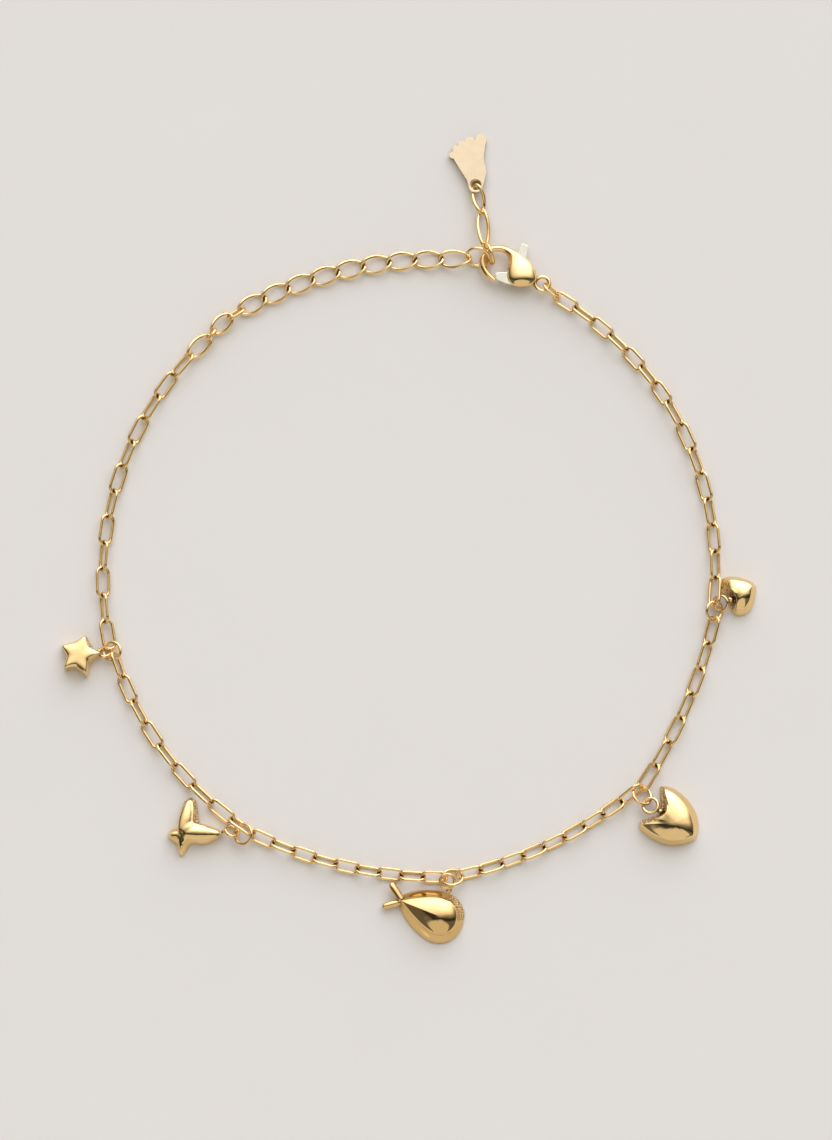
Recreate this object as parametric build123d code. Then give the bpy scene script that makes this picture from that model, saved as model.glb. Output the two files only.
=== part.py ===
from build123d import *
import math
import os

# A gold charm anklet lying flat on a table: one loop of elongated cable chain, five puffed charms on
# jump rings, an extender of twisted oval links hooked into a lobster clasp, and a foot-shaped tag.
# Millimetres. The origin is the middle of the loop, on the table. +Y points to the clasp's side.

# ---- driving dimensions -------------------------------------------------------------------------------
WIRE = 0.44                 # chain wire, thickness
LINK_WIDTH = 2.08           # cable link, outside
BITE = 0.03                 # how far two links of one run sink into each other where they touch
OVAL_BITE = 0.05            # the same for two ovals
RESTING_GAP = 0.02          # between the table and the lowest wires
RING_WIRE = 0.42            # jump rings
OVAL_WIDTH = 2.60           # extender oval, between the corners that its sides round off
OVAL_END = 0.50             # half height of an oval's blunt end, at the wire's middle
OVAL_TWIST = 32             # degrees that an oval's ends are turned out of its plane, one each way
OVAL_REST = 0.66            # height of the extender's middle line above the table

CHARM_SHOULDER = 1.55       # height where its steep side turns into the dome
CHARM_TOP = 2.40            # height of the dome
CHARM_INSET = 0.38          # how far the shoulder lies inside the widest line
OWN_RING_WIRE = 0.42        # the ring soldered to each charm

CLASP_HEIGHT = 2.60         # clasp body, from the table to its top
CLASP_SLOT = 1.00           # slot that the lever turns in
LEVER_THICKNESS = 0.86
PIN_RADIUS = 0.35
PIN_CLEARANCE = 0.03
HOOK_WIRE = 0.80
EYE_RADIUS = 0.94           # middle line of the eye
EYE_WIRE = 0.55
CLASP_PLACE = (12.2, 40.75) # middle of the hook's curve
CLASP_TURN = -25.2          # direction from the hook to the eye

TAG_THICKNESS = 0.70
TAG_HOLE_RADIUS = 0.57
TAG_HOLE_BEVEL = 0.25
TAG_PLACE = (9.08, 51.4)    # middle of the hole
TAG_RISE = 0.88             # height of the plate's middle at the hole
TAG_TILT = 4.0              # the toes lie on the table and the heel is lifted by its link

# ---- helpers ------------------------------------------------------------------------------------------


def swept_loop(path, wire):
    """A closed loop of round wire along a closed path of lines and tangent arcs, swept in two halves."""
    edges = Wire(path.edges()).order_edges()
    middle = len(edges) // 2
    halves = []
    for run in (edges[:middle], edges[middle:]):
        half = Wire(run)
        section = Plane(origin=half @ 0, z_dir=half % 0) * Circle(wire / 2)
        halves.append(sweep(section, path=half))
    return halves[0] + halves[1]


def between(start, end, roll=0.0):
    """Place whose origin is midway from start to end and whose X runs to end, rolled about that line."""
    a, b = Vector(*start), Vector(*end)
    return Plane(origin=(a + b) * 0.5, x_dir=b - a, z_dir=across(b - a)).location * Rot(roll, 0, 0)


def across(direction):
    """The most upright direction that is square to the one given."""
    side = Vector(0, 0, 1).cross(direction)
    return direction.cross(side)


def cable_link(start, end, roll, width=LINK_WIDTH, wire=WIRE):
    """An elongated link whose two end crowns, at the wire's middle, are at start and end."""
    length = (Vector(*end) - Vector(*start)).length
    turn = (width - wire) / 2
    half = length / 2 - turn
    with BuildLine() as path:
        top = Line((-half, turn), (half, turn))
        ThreePointArc(top @ 1, (half + turn, 0), (half, -turn))
        bottom = Line((half, -turn), (-half, -turn))
        ThreePointArc(bottom @ 1, (-half - turn, 0), top @ 0)
    return between(start, end, roll) * swept_loop(path.line, wire)


def oval_link(start, end, roll=0.0, width=OVAL_WIDTH, wire=WIRE):
    """A twisted oval link: its sides lie flat and its ends are turned opposite ways out of that plane."""
    reach = (Vector(*end) - Vector(*start)).length / 2
    belly = (width - wire) / 2
    out, up = OVAL_END * math.cos(math.radians(OVAL_TWIST)), OVAL_END * math.sin(math.radians(OVAL_TWIST))
    corners = [(reach, out, -up), (reach, -out, up), (0, -belly, 0),
               (-reach, -out, -up), (-reach, out, up), (0, belly, 0)]
    path = FilletPolyline(*corners, radius=[0.52, 0.52, 2 * reach] * 2, close=True)
    return between(start, end, roll) * swept_loop(path, wire)


def lofted(outline, middle, layers):
    """A solid through copies of an outline, each at a height and shrunk towards a middle point."""
    sections = []
    for height, size in layers:
        shift = Pos(middle[0] * (1 - size), middle[1] * (1 - size), height)
        sections.append(shift * scale(outline, size))
    return loft(sections)


def ring(centre, radius, wire, lean, toward):
    """A round ring, lying flat and then leaning by lean degrees about the horizontal line at toward."""
    return Pos(*centre) * Rot(0, 0, toward) * Rot(lean, 0, 0) * Torus(radius, wire / 2)


def arc_points(start, end, bow, count):
    """count + 1 places along the arc from start to end that bows outward from the loop's middle."""
    a, b = Vector(*start), Vector(*end)
    middle = (a + b) * 0.5
    outward = Vector(-(b - a).Y, (b - a).X).normalized()
    if outward.dot(middle) < 0:
        outward = -outward
    radius = ((b - a).length ** 2 / 4 + bow ** 2) / (2 * bow)
    centre = middle + outward * (bow - radius)
    spread = math.asin((b - a).length / 2 / radius)
    along = (b - a).normalized()
    points = []
    for step in range(count + 1):
        angle = spread * (2 * step / count - 1)
        points.append(centre + outward * (radius * math.cos(angle)) + along * (radius * math.sin(angle)))
    return points


# ---- chain runs ---------------------------------------------------------------------------------------
# Links lie alternately flatter and steeper. Lean is the roll of the two kinds, in degrees from lying
# flat, at the run's start and at its end. Start and end are the run's outermost joints: their height is
# that of the ring or clasp which the run hangs on.
RUNS = [
    # node, start, end, bow, links, first kind, (flat lean, steep lean) at start, the same at end
    ("chain_left", (-29.15, 28.45, 0.87), (-39.785, -10.867, 0.97), 5.0, 12, "steep", (-38, 50), (-19, 66)),
    ("chain_star_to_whale", (-39.286, -11.629, 0.97), (-20.65, -35.8, 0.95), 2.75, 9, "steep",
     (26, -64), (30, -60)),
    ("chain_star_to_whale", (-20.65, -35.8, 0.95), (4.96, -41.57, 0.83), 1.5, 9, "flat",
     (30, -60), (40, -47)),
    ("chain_whale_to_heart", (6.728, -41.322, 0.83), (30.81, -29.607, 1.74), 1.6, 9, "steep",
     (-42, 46), (-34, 49)),
    ("chain_heart_to_small_heart", (31.12, -29.666, 0.58), (40.988, -6.89, 0.94), 1.15, 7, "flat",
     (-28, 52), (-38, 48)),
    ("chain_small_heart_to_clasp", (40.85, -5.071, 1.32), (34.8, 22.1, 0.91), 2.3, 8, "flat",
     (-41, 50), (-30, 56)),
    ("chain_small_heart_to_clasp", (34.8, 22.1, 0.91), (19.9, 36.4, 0.93), 1.2, 7, "flat",
     (-30, 56), (-30, 60)),
]


def steep_height(lean):
    """Height of the middle line at which a link of that lean just clears the table."""
    return RESTING_GAP + WIRE / 2 + (LINK_WIDTH - WIRE) / 2 * abs(math.sin(math.radians(lean)))


def chain_run(start, end, bow, count, first, lean_start, lean_end):
    """The links of one run, each reaching a little past its two joints to hold its neighbours."""
    joints = arc_points(start[:2], end[:2], bow, count)
    steep_leans = [lean_start[1] + (lean_end[1] - lean_start[1]) * k / count for k in range(count + 1)]
    heights = [start[2]] + [steep_height(lean) for lean in steep_leans[1:-1]] + [end[2]]
    reach = (WIRE - BITE) / 2
    links = []
    for step in range(count):
        kind = (step + (first == "steep")) % 2
        lean = lean_start[kind] + (lean_end[kind] - lean_start[kind]) * (step + 0.5) / count
        a, b = [Vector(joints[k].X, joints[k].Y, heights[k]) for k in (step, step + 1)]
        along = (b - a).normalized() * reach
        links.append(cable_link(a - along, b + along, lean))
    return links


def join(links):
    """One solid from links that sink a little into their neighbours."""
    return links[0].fuse(*links[1:])


def chains():
    """Every run of the cable chain, by node name."""
    runs = {}
    for node, *shape in RUNS:
        runs.setdefault(node, []).extend(chain_run(*shape))
    return {node: join(links) for node, links in runs.items()}


# ---- extender -----------------------------------------------------------------------------------------
EXTENDER_START, EXTENDER_END, EXTENDER_BOW, EXTENDER_OVALS = (-22.45, 34.5), (7.95, 41.3), 2.25, 9
LAST_OVAL_END, LAST_OVAL_ROLL = (8.37, 41.43, 1.12), -10.8     # lifted by the ring on the hook


def extender_ovals():
    """The row of twisted ovals that ends at the clasp."""
    joints = arc_points(EXTENDER_START, EXTENDER_END, EXTENDER_BOW, EXTENDER_OVALS)
    reach = (WIRE - OVAL_BITE) / 2
    ovals = []
    for a, b in zip(joints, joints[1:]):
        along = (b - a).normalized() * reach
        start, end = a - along, b + along
        ovals.append(oval_link((start.X, start.Y, OVAL_REST), (end.X, end.Y, OVAL_REST)))
    ovals[-1] = oval_link((start.X, start.Y, OVAL_REST), LAST_OVAL_END, LAST_OVAL_ROLL)
    return join(ovals)


def extender_start():
    """Two loose ovals with a small ring and a short link between them, at the chain's end."""
    return {
        "first_oval": oval_link((-29.35, 28.26, 0.91), (-26.57, 31.0, 0.90), 3.7),
        "first_connector": ring((-26.39, 31.17, 1.15), 0.94, WIRE, -76.5, 54),
        "second_oval": oval_link((-26.21, 31.49, 0.88), (-23.76, 33.79, 0.95), 9),
        "second_connector": cable_link((-24.18, 33.35, 1.0), (-22.04, 34.71, 0.96), -64.7),
    }


# ---- clasp --------------------------------------------------------------------------------------------
# Drawn with the hook's middle at the origin, X towards the eye and Y towards the thumb tab.
CLASP_MIDDLE = CLASP_HEIGHT / 2
PIVOT = (3.2, 0.0)
EYE_CENTRE = (6.45, 0.0)
CLASP_SWELL = (3.3, 0.1)      # point that the body swells round
SEAM_RADIUS = 3.39            # from the pivot to the gate's tip
SEAM_GAP = 0.08               # between the gate's tip and the hook's tip


def clasp_place():
    return Pos(CLASP_PLACE[0], CLASP_PLACE[1], CLASP_MIDDLE) * Rot(0, 0, CLASP_TURN)


def clasp_body():
    """Pillowy teardrop body with a hook, an eye and the lever's pin, slotted for the lever."""
    outline = FilletPolyline((0.7, 2.45), (2.75, 2.62), (4.3, 1.65), (5.5, 0.4), (5.5, -0.75), (3.6, -1.95),
                             (2.1, -2.1), (1.5, -0.4), (1.3, 1.15), (0.4, 1.8),
                             radius=[0.15, 1.2, 1.5, 0.5, 0.5, 1.0, 0.4, 1.0, 0.5, 0.15], close=True)
    layers = []
    for angle in (-76, -58, -38, -15, 15, 38, 58, 76):
        turn = math.radians(angle)
        height = CLASP_MIDDLE * math.sin(turn) / math.sin(math.radians(76))
        layers.append((height, 0.36 + 0.64 * math.cos(turn)))
    body = lofted(make_face(outline.edges()), CLASP_SWELL, layers)
    hook = ThreePointArc((0.95, 2.05), (-2.05, 0.55), (0.35, -2.1))
    hook_start = Plane(origin=hook @ 0, z_dir=hook % 0) * Circle(HOOK_WIRE / 2)
    hook = sweep(hook_start, path=hook)
    tip_side = Pos(1.2, -2.0) * Box(2.4, 1.8, CLASP_HEIGHT)
    hook -= tip_side & Pos(*PIVOT) * Cylinder(SEAM_RADIUS + SEAM_GAP, CLASP_HEIGHT)
    eye = Pos(*EYE_CENTRE) * Torus(EYE_RADIUS, EYE_WIRE / 2)
    slot_outline = Polygon((0.2, -3.0), (0.2, -1.1), (1.0, 0.9), (1.35, 1.5), (1.4, 3.4), (4.7, 3.4),
                           (4.8, 0.8), (4.9, -3.0), align=None)
    slot = extrude(slot_outline, CLASP_SLOT / 2, both=True)
    pin = Pos(*PIVOT) * Cylinder(PIN_RADIUS, CLASP_SLOT + 0.2)
    return (body - slot) + hook + eye + pin


def clasp_lever():
    """The gate, its hub and the thumb tab, cut from one plate."""
    outline = FilletPolyline((0.1, -1.38), (0.56, -2.12), (2.0, -2.1), (3.6, -1.7), (4.3, -0.9), (4.0, 0.6),
                             (3.3, 1.2), (2.62, 3.76), (1.58, 3.8), (1.75, 1.0), (2.05, -0.3),
                             radius=[0.1, 0.2, 1.0, 0.5, 0.5, 0.5, 0.5, 0.3, 0.3, 0.3, 0.5], close=True)
    plate = extrude(make_face(outline.edges()), LEVER_THICKNESS / 2, both=True)
    return plate - Pos(*PIVOT) * Cylinder(PIN_RADIUS + PIN_CLEARANCE, CLASP_HEIGHT)


def clasp():
    place = clasp_place()
    return {
        "clasp_body": place * clasp_body(),
        "clasp_lever": place * clasp_lever(),
        "clasp_link": cable_link((18.31, 37.9, 1.42), (20.33, 36.2, 0.97), -60, 2.0),
    }


# ---- tail ---------------------------------------------------------------------------------------------


def tail():
    """The ring on the hook, two links and the foot tag."""
    return {
        "hooked_ring": ring((9.36, 41.635, 1.42), 1.547, WIRE, 48.4, -9.7),
        "tail_ring": ring((10.855, 42.086, 1.77), 1.55, WIRE, -80.6, 111.2),
        "tail_link_lower": cable_link((10.28, 43.05, 1.87), (9.89, 48.08, 0.90), 42),
        "tail_link_upper": cable_link((9.905, 47.6, 1.03), (9.08, 51.43, 0.90), -48.7),
        "foot_tag": foot_tag(),
    }


def foot_tag():
    """A flat sole with five toes and a hole at the heel."""
    toes = [
        # x, y, radius
        (0.70, 6.17, 0.80),
        (-0.80, 5.88, 0.68),
        (-1.80, 5.48, 0.58),
        (-2.62, 4.90, 0.52),
        (-3.08, 4.12, 0.48),
    ]
    sole = FilletPolyline((0.7, -1.0), (1.1, 0.2), (1.5, 1.8), (1.05, 3.6), (1.45, 6.2), (0.0, 6.3),
                          (-1.8, 5.5), (-3.3, 4.2), (-2.4, 2.6), (-1.15, 0.6), (-0.75, -1.0),
                          radius=[0.7, 1.0, 1.5, 2.0, 0.5, 0.6, 0.8, 0.5, 1.0, 1.0, 0.7], close=True)
    plan = make_face(sole.edges())
    for x, y, size in toes:
        plan += Pos(x, y) * Circle(size)
    plate = extrude(plan, TAG_THICKNESS / 2, both=True) - Cylinder(TAG_HOLE_RADIUS, TAG_THICKNESS)
    plate = chamfer(plate.edges().filter_by(GeomType.CIRCLE).sort_by_distance((0, 0, 0))[:2], TAG_HOLE_BEVEL)
    return Pos(TAG_PLACE[0], TAG_PLACE[1], TAG_RISE) * Rot(-TAG_TILT, 0, 0) * plate


# ---- charms -------------------------------------------------------------------------------------------
# The side of a puffed form, from the table up: how far each height lies inside the widest line.
SIDE = [
    # height, distance inside
    (0.00, 0.16),
    (0.35, 0.02),
    (0.75, 0.00),
    (1.25, 0.10),
    (CHARM_SHOULDER, CHARM_INSET),
]
DOME_STEPS = (20, 38, 54, 68, 80)     # degrees round the dome, from its edge


def puffed(outline, half_length, half_width, centre=(0, 0)):
    """A puffed form: steep sides up to a shoulder, then a dome."""
    sections = list(SIDE)
    for angle in DOME_STEPS:
        turn = math.radians(angle)
        inside = CHARM_INSET + (half_width - CHARM_INSET) * (1 - math.cos(turn))
        sections.append((CHARM_SHOULDER + (CHARM_TOP - CHARM_SHOULDER) * math.sin(turn), inside))
    layers = []
    for height, inside in sections:
        size = (1 - inside / half_length, 1 - inside / half_width)
        shift = Pos(centre[0] * (1 - size[0]), centre[1] * (1 - size[1]), height)
        layers.append(shift * scale(outline, (size[0], size[1], 1)))
    return loft(layers, ruled=True)


# Half of a heart's outline, from its notch round one lobe to its point.
HEART_SIDE = [
    # share of the length, share of the half width, corner radius as a share of the half width
    (0.19, 0.42, 0.42),
    (-0.02, 0.81, 0.08),
    (0.11, 1.005, 0.30),
    (0.45, 1.005, 0.90),
    (0.775, 0.69, 0.75),
    (1.00, 0.14, 0.12),
]


def heart_outline(length, half_width, notch):
    """A heart on its side: lobes at X = 0 and the point at X = length."""
    corners = [(x * length, y * half_width) for x, y, turn in HEART_SIDE]
    corners[0] = (0.7 * notch, corners[0][1])
    radii = [turn * half_width for x, y, turn in HEART_SIDE]
    mirrored = [(x, -y) for x, y in reversed(corners)]
    outline = FilletPolyline((notch, 0), *corners, *mirrored,
                             radius=[0.3 * half_width] + radii + radii[::-1], close=True)
    return make_face(outline.edges())


def soldered_ring(centre, radius, lean, toward):
    """The ring that is soldered to a charm."""
    return ring(centre, radius, OWN_RING_WIRE, lean, toward)


def star_outline(tip, valley):
    """A five-pointed star with its first tip on +X."""
    corners = []
    for step in range(10):
        size = (tip, valley)[step % 2]
        corners.append((size * math.cos(math.pi * step / 5), size * math.sin(math.pi * step / 5)))
    return make_face(FilletPolyline(*corners, radius=[0.25, 0.35] * 5, close=True).edges())


def star_charm():
    body = Rot(0, 0, 5) * puffed(star_outline(3.12, 1.66), 2.3, 2.3)
    return Pos(-43.68, -12.2, 0) * body + soldered_ring((-40.57, -11.545, 0.775), 0.79, -43.6, -0.6)


def wing(length, half_width, turn):
    """One petal-shaped wing from the butterfly's middle."""
    body = puffed(Ellipse(length / 2, half_width), length / 2, half_width)
    return Rot(0, 0, turn) * Pos(length / 2, 0) * body


def butterfly_charm():
    wings = [wing(5.4, 1.20, 82), wing(5.85, 1.40, -1), wing(2.4, 0.84, 184), wing(3.3, 0.86, -94)]
    body = wings[0].fuse(*wings[1:])
    return Pos(-29.65, -35.6, 0) * body + soldered_ring((-23.44, -35.445, 1.0), 0.925, 47.7, 149.9)


def whale_charm():
    """A teardrop body with a two-lobed tail at its point."""
    with BuildSketch() as drop:
        with BuildLine():
            belly = ThreePointArc((1.2, 3.2), (-3.42, 0), (1.2, -3.2))
            ThreePointArc(belly @ 1, (3.75, -2.15), (5.6, -0.3))
            Line((5.6, -0.3), (5.6, 0.3))
            ThreePointArc((5.6, 0.3), (3.75, 2.15), belly @ 0)
        make_face()
    body = puffed(drop.sketch, 3.42, 3.3)
    flukes = []
    for turn in (-40, 20):
        lobe = Pos(1.1, 0) * SlotOverall(2.9, 0.95)
        flukes.append(Pos(5.2, -0.12, 0.5) * Rot(0, 0, turn) * extrude(lobe, 0.9))
    body = body.fuse(*flukes)
    bead = Pos(5.45, -43.4, 1.4) * Sphere(0.45)
    placed = Pos(4.3, -46.6, 0) * Rot(0, 0, 161) * body
    return placed + soldered_ring((5.21, -42.13, 1.84), 0.955, 12.7, 16.6) + bead


def heart_charm():
    body = puffed(heart_outline(8.0, 3.6, 2.1), 3.95, 3.6, (4.2, 0))
    bead = Pos(33.6, -32.8, 1.5) * Sphere(0.45)
    placed = Pos(32.1, -31.9, 0) * Rot(0, 0, -36) * body
    return placed + soldered_ring((32.29, -32.04, 1.477), 1.013, -16.2, 48) + bead


def small_heart_charm():
    """A small heart whose dome sits back from its lobes."""
    body = puffed(heart_outline(4.5, 2.5, 0.75), 2.1, 2.5, (3.2, 0))
    bead = Pos(43.2, -4.55, 1.25) * Sphere(0.52)
    placed = Pos(42.65, -4.5, 0) * Rot(0, 0, 28) * body
    return placed + soldered_ring((41.765, -4.98, 1.157), 1.008, -24.7, 107.5) + bead


def jump_rings():
    """The rings that carry the charms on the chain."""
    table = [
        # node, centre, radius, lean, toward
        ("star_jump_ring", (-39.493, -11.398, 1.107), 1.20, -21, 89),
        ("butterfly_jump_ring", (-21.94, -35.84, 1.48), 1.323, -30.7, 86.7),
        ("whale_jump_ring", (5.88, -41.6, 1.217), 1.41, -42, 5.5),
        ("heart_jump_ring", (31.174, -30.6, 1.253), 1.395, 38.2, 128),
        ("small_heart_jump_ring", (40.907, -6.01, 1.175), 1.242, 34.8, 78.7),
    ]
    rings = {}
    for node, centre, radius, lean, toward in table:
        rings[node] = ring(centre, radius, RING_WIRE, lean, toward)
    return rings


# ---- write the pieces ---------------------------------------------------------------------------------
pieces = {}
pieces.update(chains())
pieces.update(extender_start())
pieces["extender_ovals"] = extender_ovals()
pieces.update(clasp())
pieces.update(tail())
pieces.update(jump_rings())
pieces["star_charm"] = star_charm()
pieces["butterfly_charm"] = butterfly_charm()
pieces["whale_charm"] = whale_charm()
pieces["heart_charm"] = heart_charm()
pieces["small_heart_charm"] = small_heart_charm()

os.makedirs("parts", exist_ok=True)
for node, solid in pieces.items():
    export_step(solid, f"parts/{node}.step")
    size = solid.bounding_box()
    print(f"{node:28s} {solid.volume:8.3f} mm3  z {size.min.Z:6.3f} to {size.max.Z:6.3f}")
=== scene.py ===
import math

import bmesh
import bpy
from mathutils import Matrix, Vector


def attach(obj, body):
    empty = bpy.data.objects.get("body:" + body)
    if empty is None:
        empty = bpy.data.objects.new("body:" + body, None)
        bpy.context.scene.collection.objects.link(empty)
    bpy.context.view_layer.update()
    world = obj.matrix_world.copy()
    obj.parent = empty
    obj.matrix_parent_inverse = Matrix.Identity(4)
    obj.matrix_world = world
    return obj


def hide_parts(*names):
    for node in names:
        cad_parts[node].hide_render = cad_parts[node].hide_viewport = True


# %% [markdown]
# # A gold charm anklet
# The real object is a thin chain of long links with five puffed charms, an extender of twisted ovals,
# a lobster clasp and a foot-shaped tag, all plated in polished yellow gold.
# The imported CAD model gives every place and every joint. Its chain links, connectors and jump rings have
# the right shape already, so they only get a finish. The puffed forms, the twisted ovals and the plates
# are modelled again here, because polished metal shows every facet and every hard edge.

# %% Load the frame
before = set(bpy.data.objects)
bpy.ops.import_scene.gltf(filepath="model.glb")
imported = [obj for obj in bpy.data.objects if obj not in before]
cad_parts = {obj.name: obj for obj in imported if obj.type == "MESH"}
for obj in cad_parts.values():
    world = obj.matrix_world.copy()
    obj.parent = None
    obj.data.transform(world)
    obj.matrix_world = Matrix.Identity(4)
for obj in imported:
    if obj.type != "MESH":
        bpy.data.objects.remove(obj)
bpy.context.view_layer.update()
MM = 0.001      # pieces are modelled in millimetres and scaled to metres once, at the end
print("nodes:", sorted(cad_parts))

# %% [markdown]
# ## Values that flow through a finish
# A finish is a web of nodes. Typed out node by node it hides its own sums, so one small class wraps a
# socket: plus, minus and times on it add Math nodes, and any other node comes from one method.

# %% A wrapped socket
class Flow:
    """One value in a node tree, on which Python's own operators build Math nodes."""

    def __init__(self, tree, socket=None):
        self.tree, self.socket = tree, socket

    def node(self, kind, settings=None, sockets=None):
        """A new node: its settings first, then the values or links of its sockets."""
        made = self.tree.nodes.new(kind)
        for name, value in (settings or {}).items():
            setattr(made, name, value)
        for name, value in (sockets or {}).items():
            if isinstance(value, Flow):
                self.tree.links.new(value.socket, made.inputs[name])
            else:
                made.inputs[name].default_value = value
        return Flow(self.tree, next((out for out in made.outputs if out.enabled), None))

    def output(self, name):
        """Another output of the node that this value comes from."""
        return Flow(self.tree, self.socket.node.outputs[name])

    def math(self, operation, first, second):
        """A Math node on two values."""
        return self.node("ShaderNodeMath", {"operation": operation}, {0: first, 1: second})

    def __add__(self, other):
        return self.math("ADD", self, other)

    def __radd__(self, other):
        return self.math("ADD", other, self)

    def __sub__(self, other):
        return self.math("SUBTRACT", self, other)

    def __rsub__(self, other):
        return self.math("SUBTRACT", other, self)

    def __mul__(self, other):
        return self.math("MULTIPLY", self, other)

    def __rmul__(self, other):
        return self.math("MULTIPLY", other, self)

    def step(self, low, high):
        """A soft step from 0 at low to 1 at high."""
        return self.node("ShaderNodeMapRange", {"interpolation_type": "SMOOTHSTEP"},
                         {"Value": self, "From Min": low, "From Max": high})

# %% [markdown]
# ## An empty tree
# A new material or world comes with nodes of its own. Changing them one by one depends on what they are,
# so each tree is emptied and built from nothing.

# %% Start a tree
def empty_tree(owner):
    """The owner's node tree with nothing in it, wrapped so that nodes can be added."""
    owner.use_nodes = True
    owner.node_tree.nodes.clear()
    return Flow(owner.node_tree)

# %% [markdown]
# ## Stippled walls
# The wall of a charm beside its jump ring is punched with small round dents, where the polishing wheel
# doesn't reach. They could be modelled, but they are a quarter of a millimetre wide, so a Voronoi pattern
# gives their height, and painted shade darkens the colour at their edges. It is kept to steep faces near
# one point of the charm.

# %% Punched dents
DENTS_PER_METRE = 2900.0


def punched(tree, spot, centre, reach):
    """The height of round dents on steep faces near a point, in millimetres, and the painted shade at their
    edges.
    """
    facing = tree.node("ShaderNodeSeparateXYZ", {},
                       {"Vector": tree.node("ShaderNodeNewGeometry").output("Normal")}).output("Z")
    away = tree.node("ShaderNodeVectorMath", {"operation": "DISTANCE"},
                     {0: spot, 1: [value * MM for value in centre]})
    where = (1 - facing.step(0.45, 0.75)) * (1 - away.step(0.75 * reach * MM, reach * MM))
    cells = tree.node("ShaderNodeTexVoronoi", {}, {"Vector": spot, "Scale": DENTS_PER_METRE, "Randomness": 0.6})
    rise = 1 - cells.step(0.1, 0.65)
    # painted shade: the colour is darkened at the dents' edges
    return rise * where, cells.step(0.35, 0.75) * where * 0.75

# %% [markdown]
# ## Gold finishes
# Plated gold has no colour but that of its reflections. What makes it look real is small: the plating is
# a little warmer in some places than in others, the polish leaves faint wavy ground under the shine,
# and handling leaves hair scratches. Each is one noise, at its own scale, and all read object coordinates
# in metres, so that the pattern is as fine on a ring as on a charm. The nooks are darkened with painted
# shade: ambient occlusion within one piece finds them, and their colour is mixed towards a dark brown.

# %% Gold
# painted shade: the dark brown that the colour of the nooks is mixed towards
NOOK_SHADE = (0.15, 0.075, 0.025, 1.0)
NOOK_REACH = 0.9 * MM       # how far a wall opposite still makes a nook


def gold(name, tone, warm_tone, polish, dull, waviness, grain, stippled=None):
    """A gold finish: two tones of plating with painted shade in its nooks, a roughness from polish to dull, a
    wavy ground and a grain.
    """
    finish = bpy.data.materials.new(name)
    tree = empty_tree(finish)
    spot = tree.node("ShaderNodeTexCoord").output("Object")
    drift = tree.node("ShaderNodeTexNoise", {}, {"Vector": spot, "Scale": 420.0, "Detail": 3.0})
    plating = tree.node("ShaderNodeMix", {"data_type": "RGBA"},
                        {"Factor": drift.step(0.3, 0.7), 6: tone, 7: warm_tone})
    # painted shade: ambient occlusion within the piece darkens the colour of its nooks
    nook = tree.node("ShaderNodeAmbientOcclusion", {"samples": 8, "only_local": True},
                     {"Distance": NOOK_REACH}).output("AO")
    unshaded, stipple = nook.step(0.42, 0.92), None
    if stippled:
        stipple, dent_shade = punched(tree, spot, *stippled)
        # painted shade at the dents' edges darkens the colour as well
        unshaded = unshaded * (1 - dent_shade)
    colour = tree.node("ShaderNodeMix", {"data_type": "RGBA"}, {"Factor": unshaded, 6: NOOK_SHADE, 7: plating})
    long_way = tree.node("ShaderNodeMapping", {}, {"Vector": spot, "Scale": (1.0, 7.0, 3.0),
                                                   "Rotation": (0.0, 0.2, 0.6)})
    hair = tree.node("ShaderNodeTexNoise", {}, {"Vector": long_way, "Scale": 2600.0, "Detail": 4.0})
    smudge = tree.node("ShaderNodeTexNoise", {}, {"Vector": spot, "Scale": 900.0, "Detail": 2.0})
    wear = hair.step(0.58, 0.72) * 0.6 + smudge.step(0.45, 0.75) * 0.4
    ground = tree.node("ShaderNodeTexNoise", {}, {"Vector": spot, "Scale": 700.0, "Detail": 1.0})
    relief = tree.node("ShaderNodeBump", {}, {"Height": ground, "Strength": waviness, "Distance": 0.2 * MM})
    relief = tree.node("ShaderNodeBump", {}, {"Height": hair, "Strength": grain, "Distance": 0.02 * MM,
                                              "Normal": relief})
    if stippled:
        relief = tree.node("ShaderNodeBump", {}, {"Height": stipple, "Strength": 1.0, "Distance": 0.2 * MM,
                                                  "Normal": relief})
    metal = tree.node("ShaderNodeBsdfPrincipled", {},
                      {"Metallic": 1.0, "Base Color": colour,
                       "Roughness": polish + wear * (dull - polish), "Normal": relief})
    tree.node("ShaderNodeOutputMaterial", {}, {"Surface": metal})
    print(f"{name}: {len(finish.node_tree.nodes)} nodes")
    return finish

# %% [markdown]
# ## The finishes of this piece
# Everything is polished but the tag and the lever, whose flat faces have a fine satin brushing. The lever's
# gold is a paler, brighter copy of the plating: painted light on its flat face. The tag's is a darker copy:
# painted shade that tones its face down under the lamp.

# %% Polished and satin
# two tones of plating, roughness where polished and where dull, waviness, grain
POLISHED = ((0.92, 0.655, 0.30, 1.0), (0.89, 0.62, 0.265, 1.0), 0.05, 0.14, 0.10, 0.08)
polished_gold = gold("polished_gold", *POLISHED)
# painted shade: a darker copy of the plating, which tones the tag's face down under the lamp
satin_gold = gold("satin_gold", (0.67, 0.535, 0.340, 1.0), (0.65, 0.51, 0.32, 1.0), 0.24, 0.36, 0.05, 0.12)
# painted light: a paler, brighter copy of the plating, which lightens the lever's flat face
pale_lit_gold = gold("pale_lit_gold", (1.0, 0.94, 0.77, 1.0), (0.99, 0.92, 0.74, 1.0), 0.18, 0.28, 0.04, 0.10)

# %% [markdown]
# ## Pieces of wire from CAD
# Links and jump rings are plain round wire. Their CAD meshes are fine enough to shade smooth, so they
# keep their shape and only take the polished finish. Nodes that a piece below stands for get it too.

# %% Finish the CAD nodes
for name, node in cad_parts.items():
    node.data.materials.clear()
    node.data.materials.append(satin_gold if name == "foot_tag" else polished_gold)
print("finished", len(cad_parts), "CAD nodes")

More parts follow.
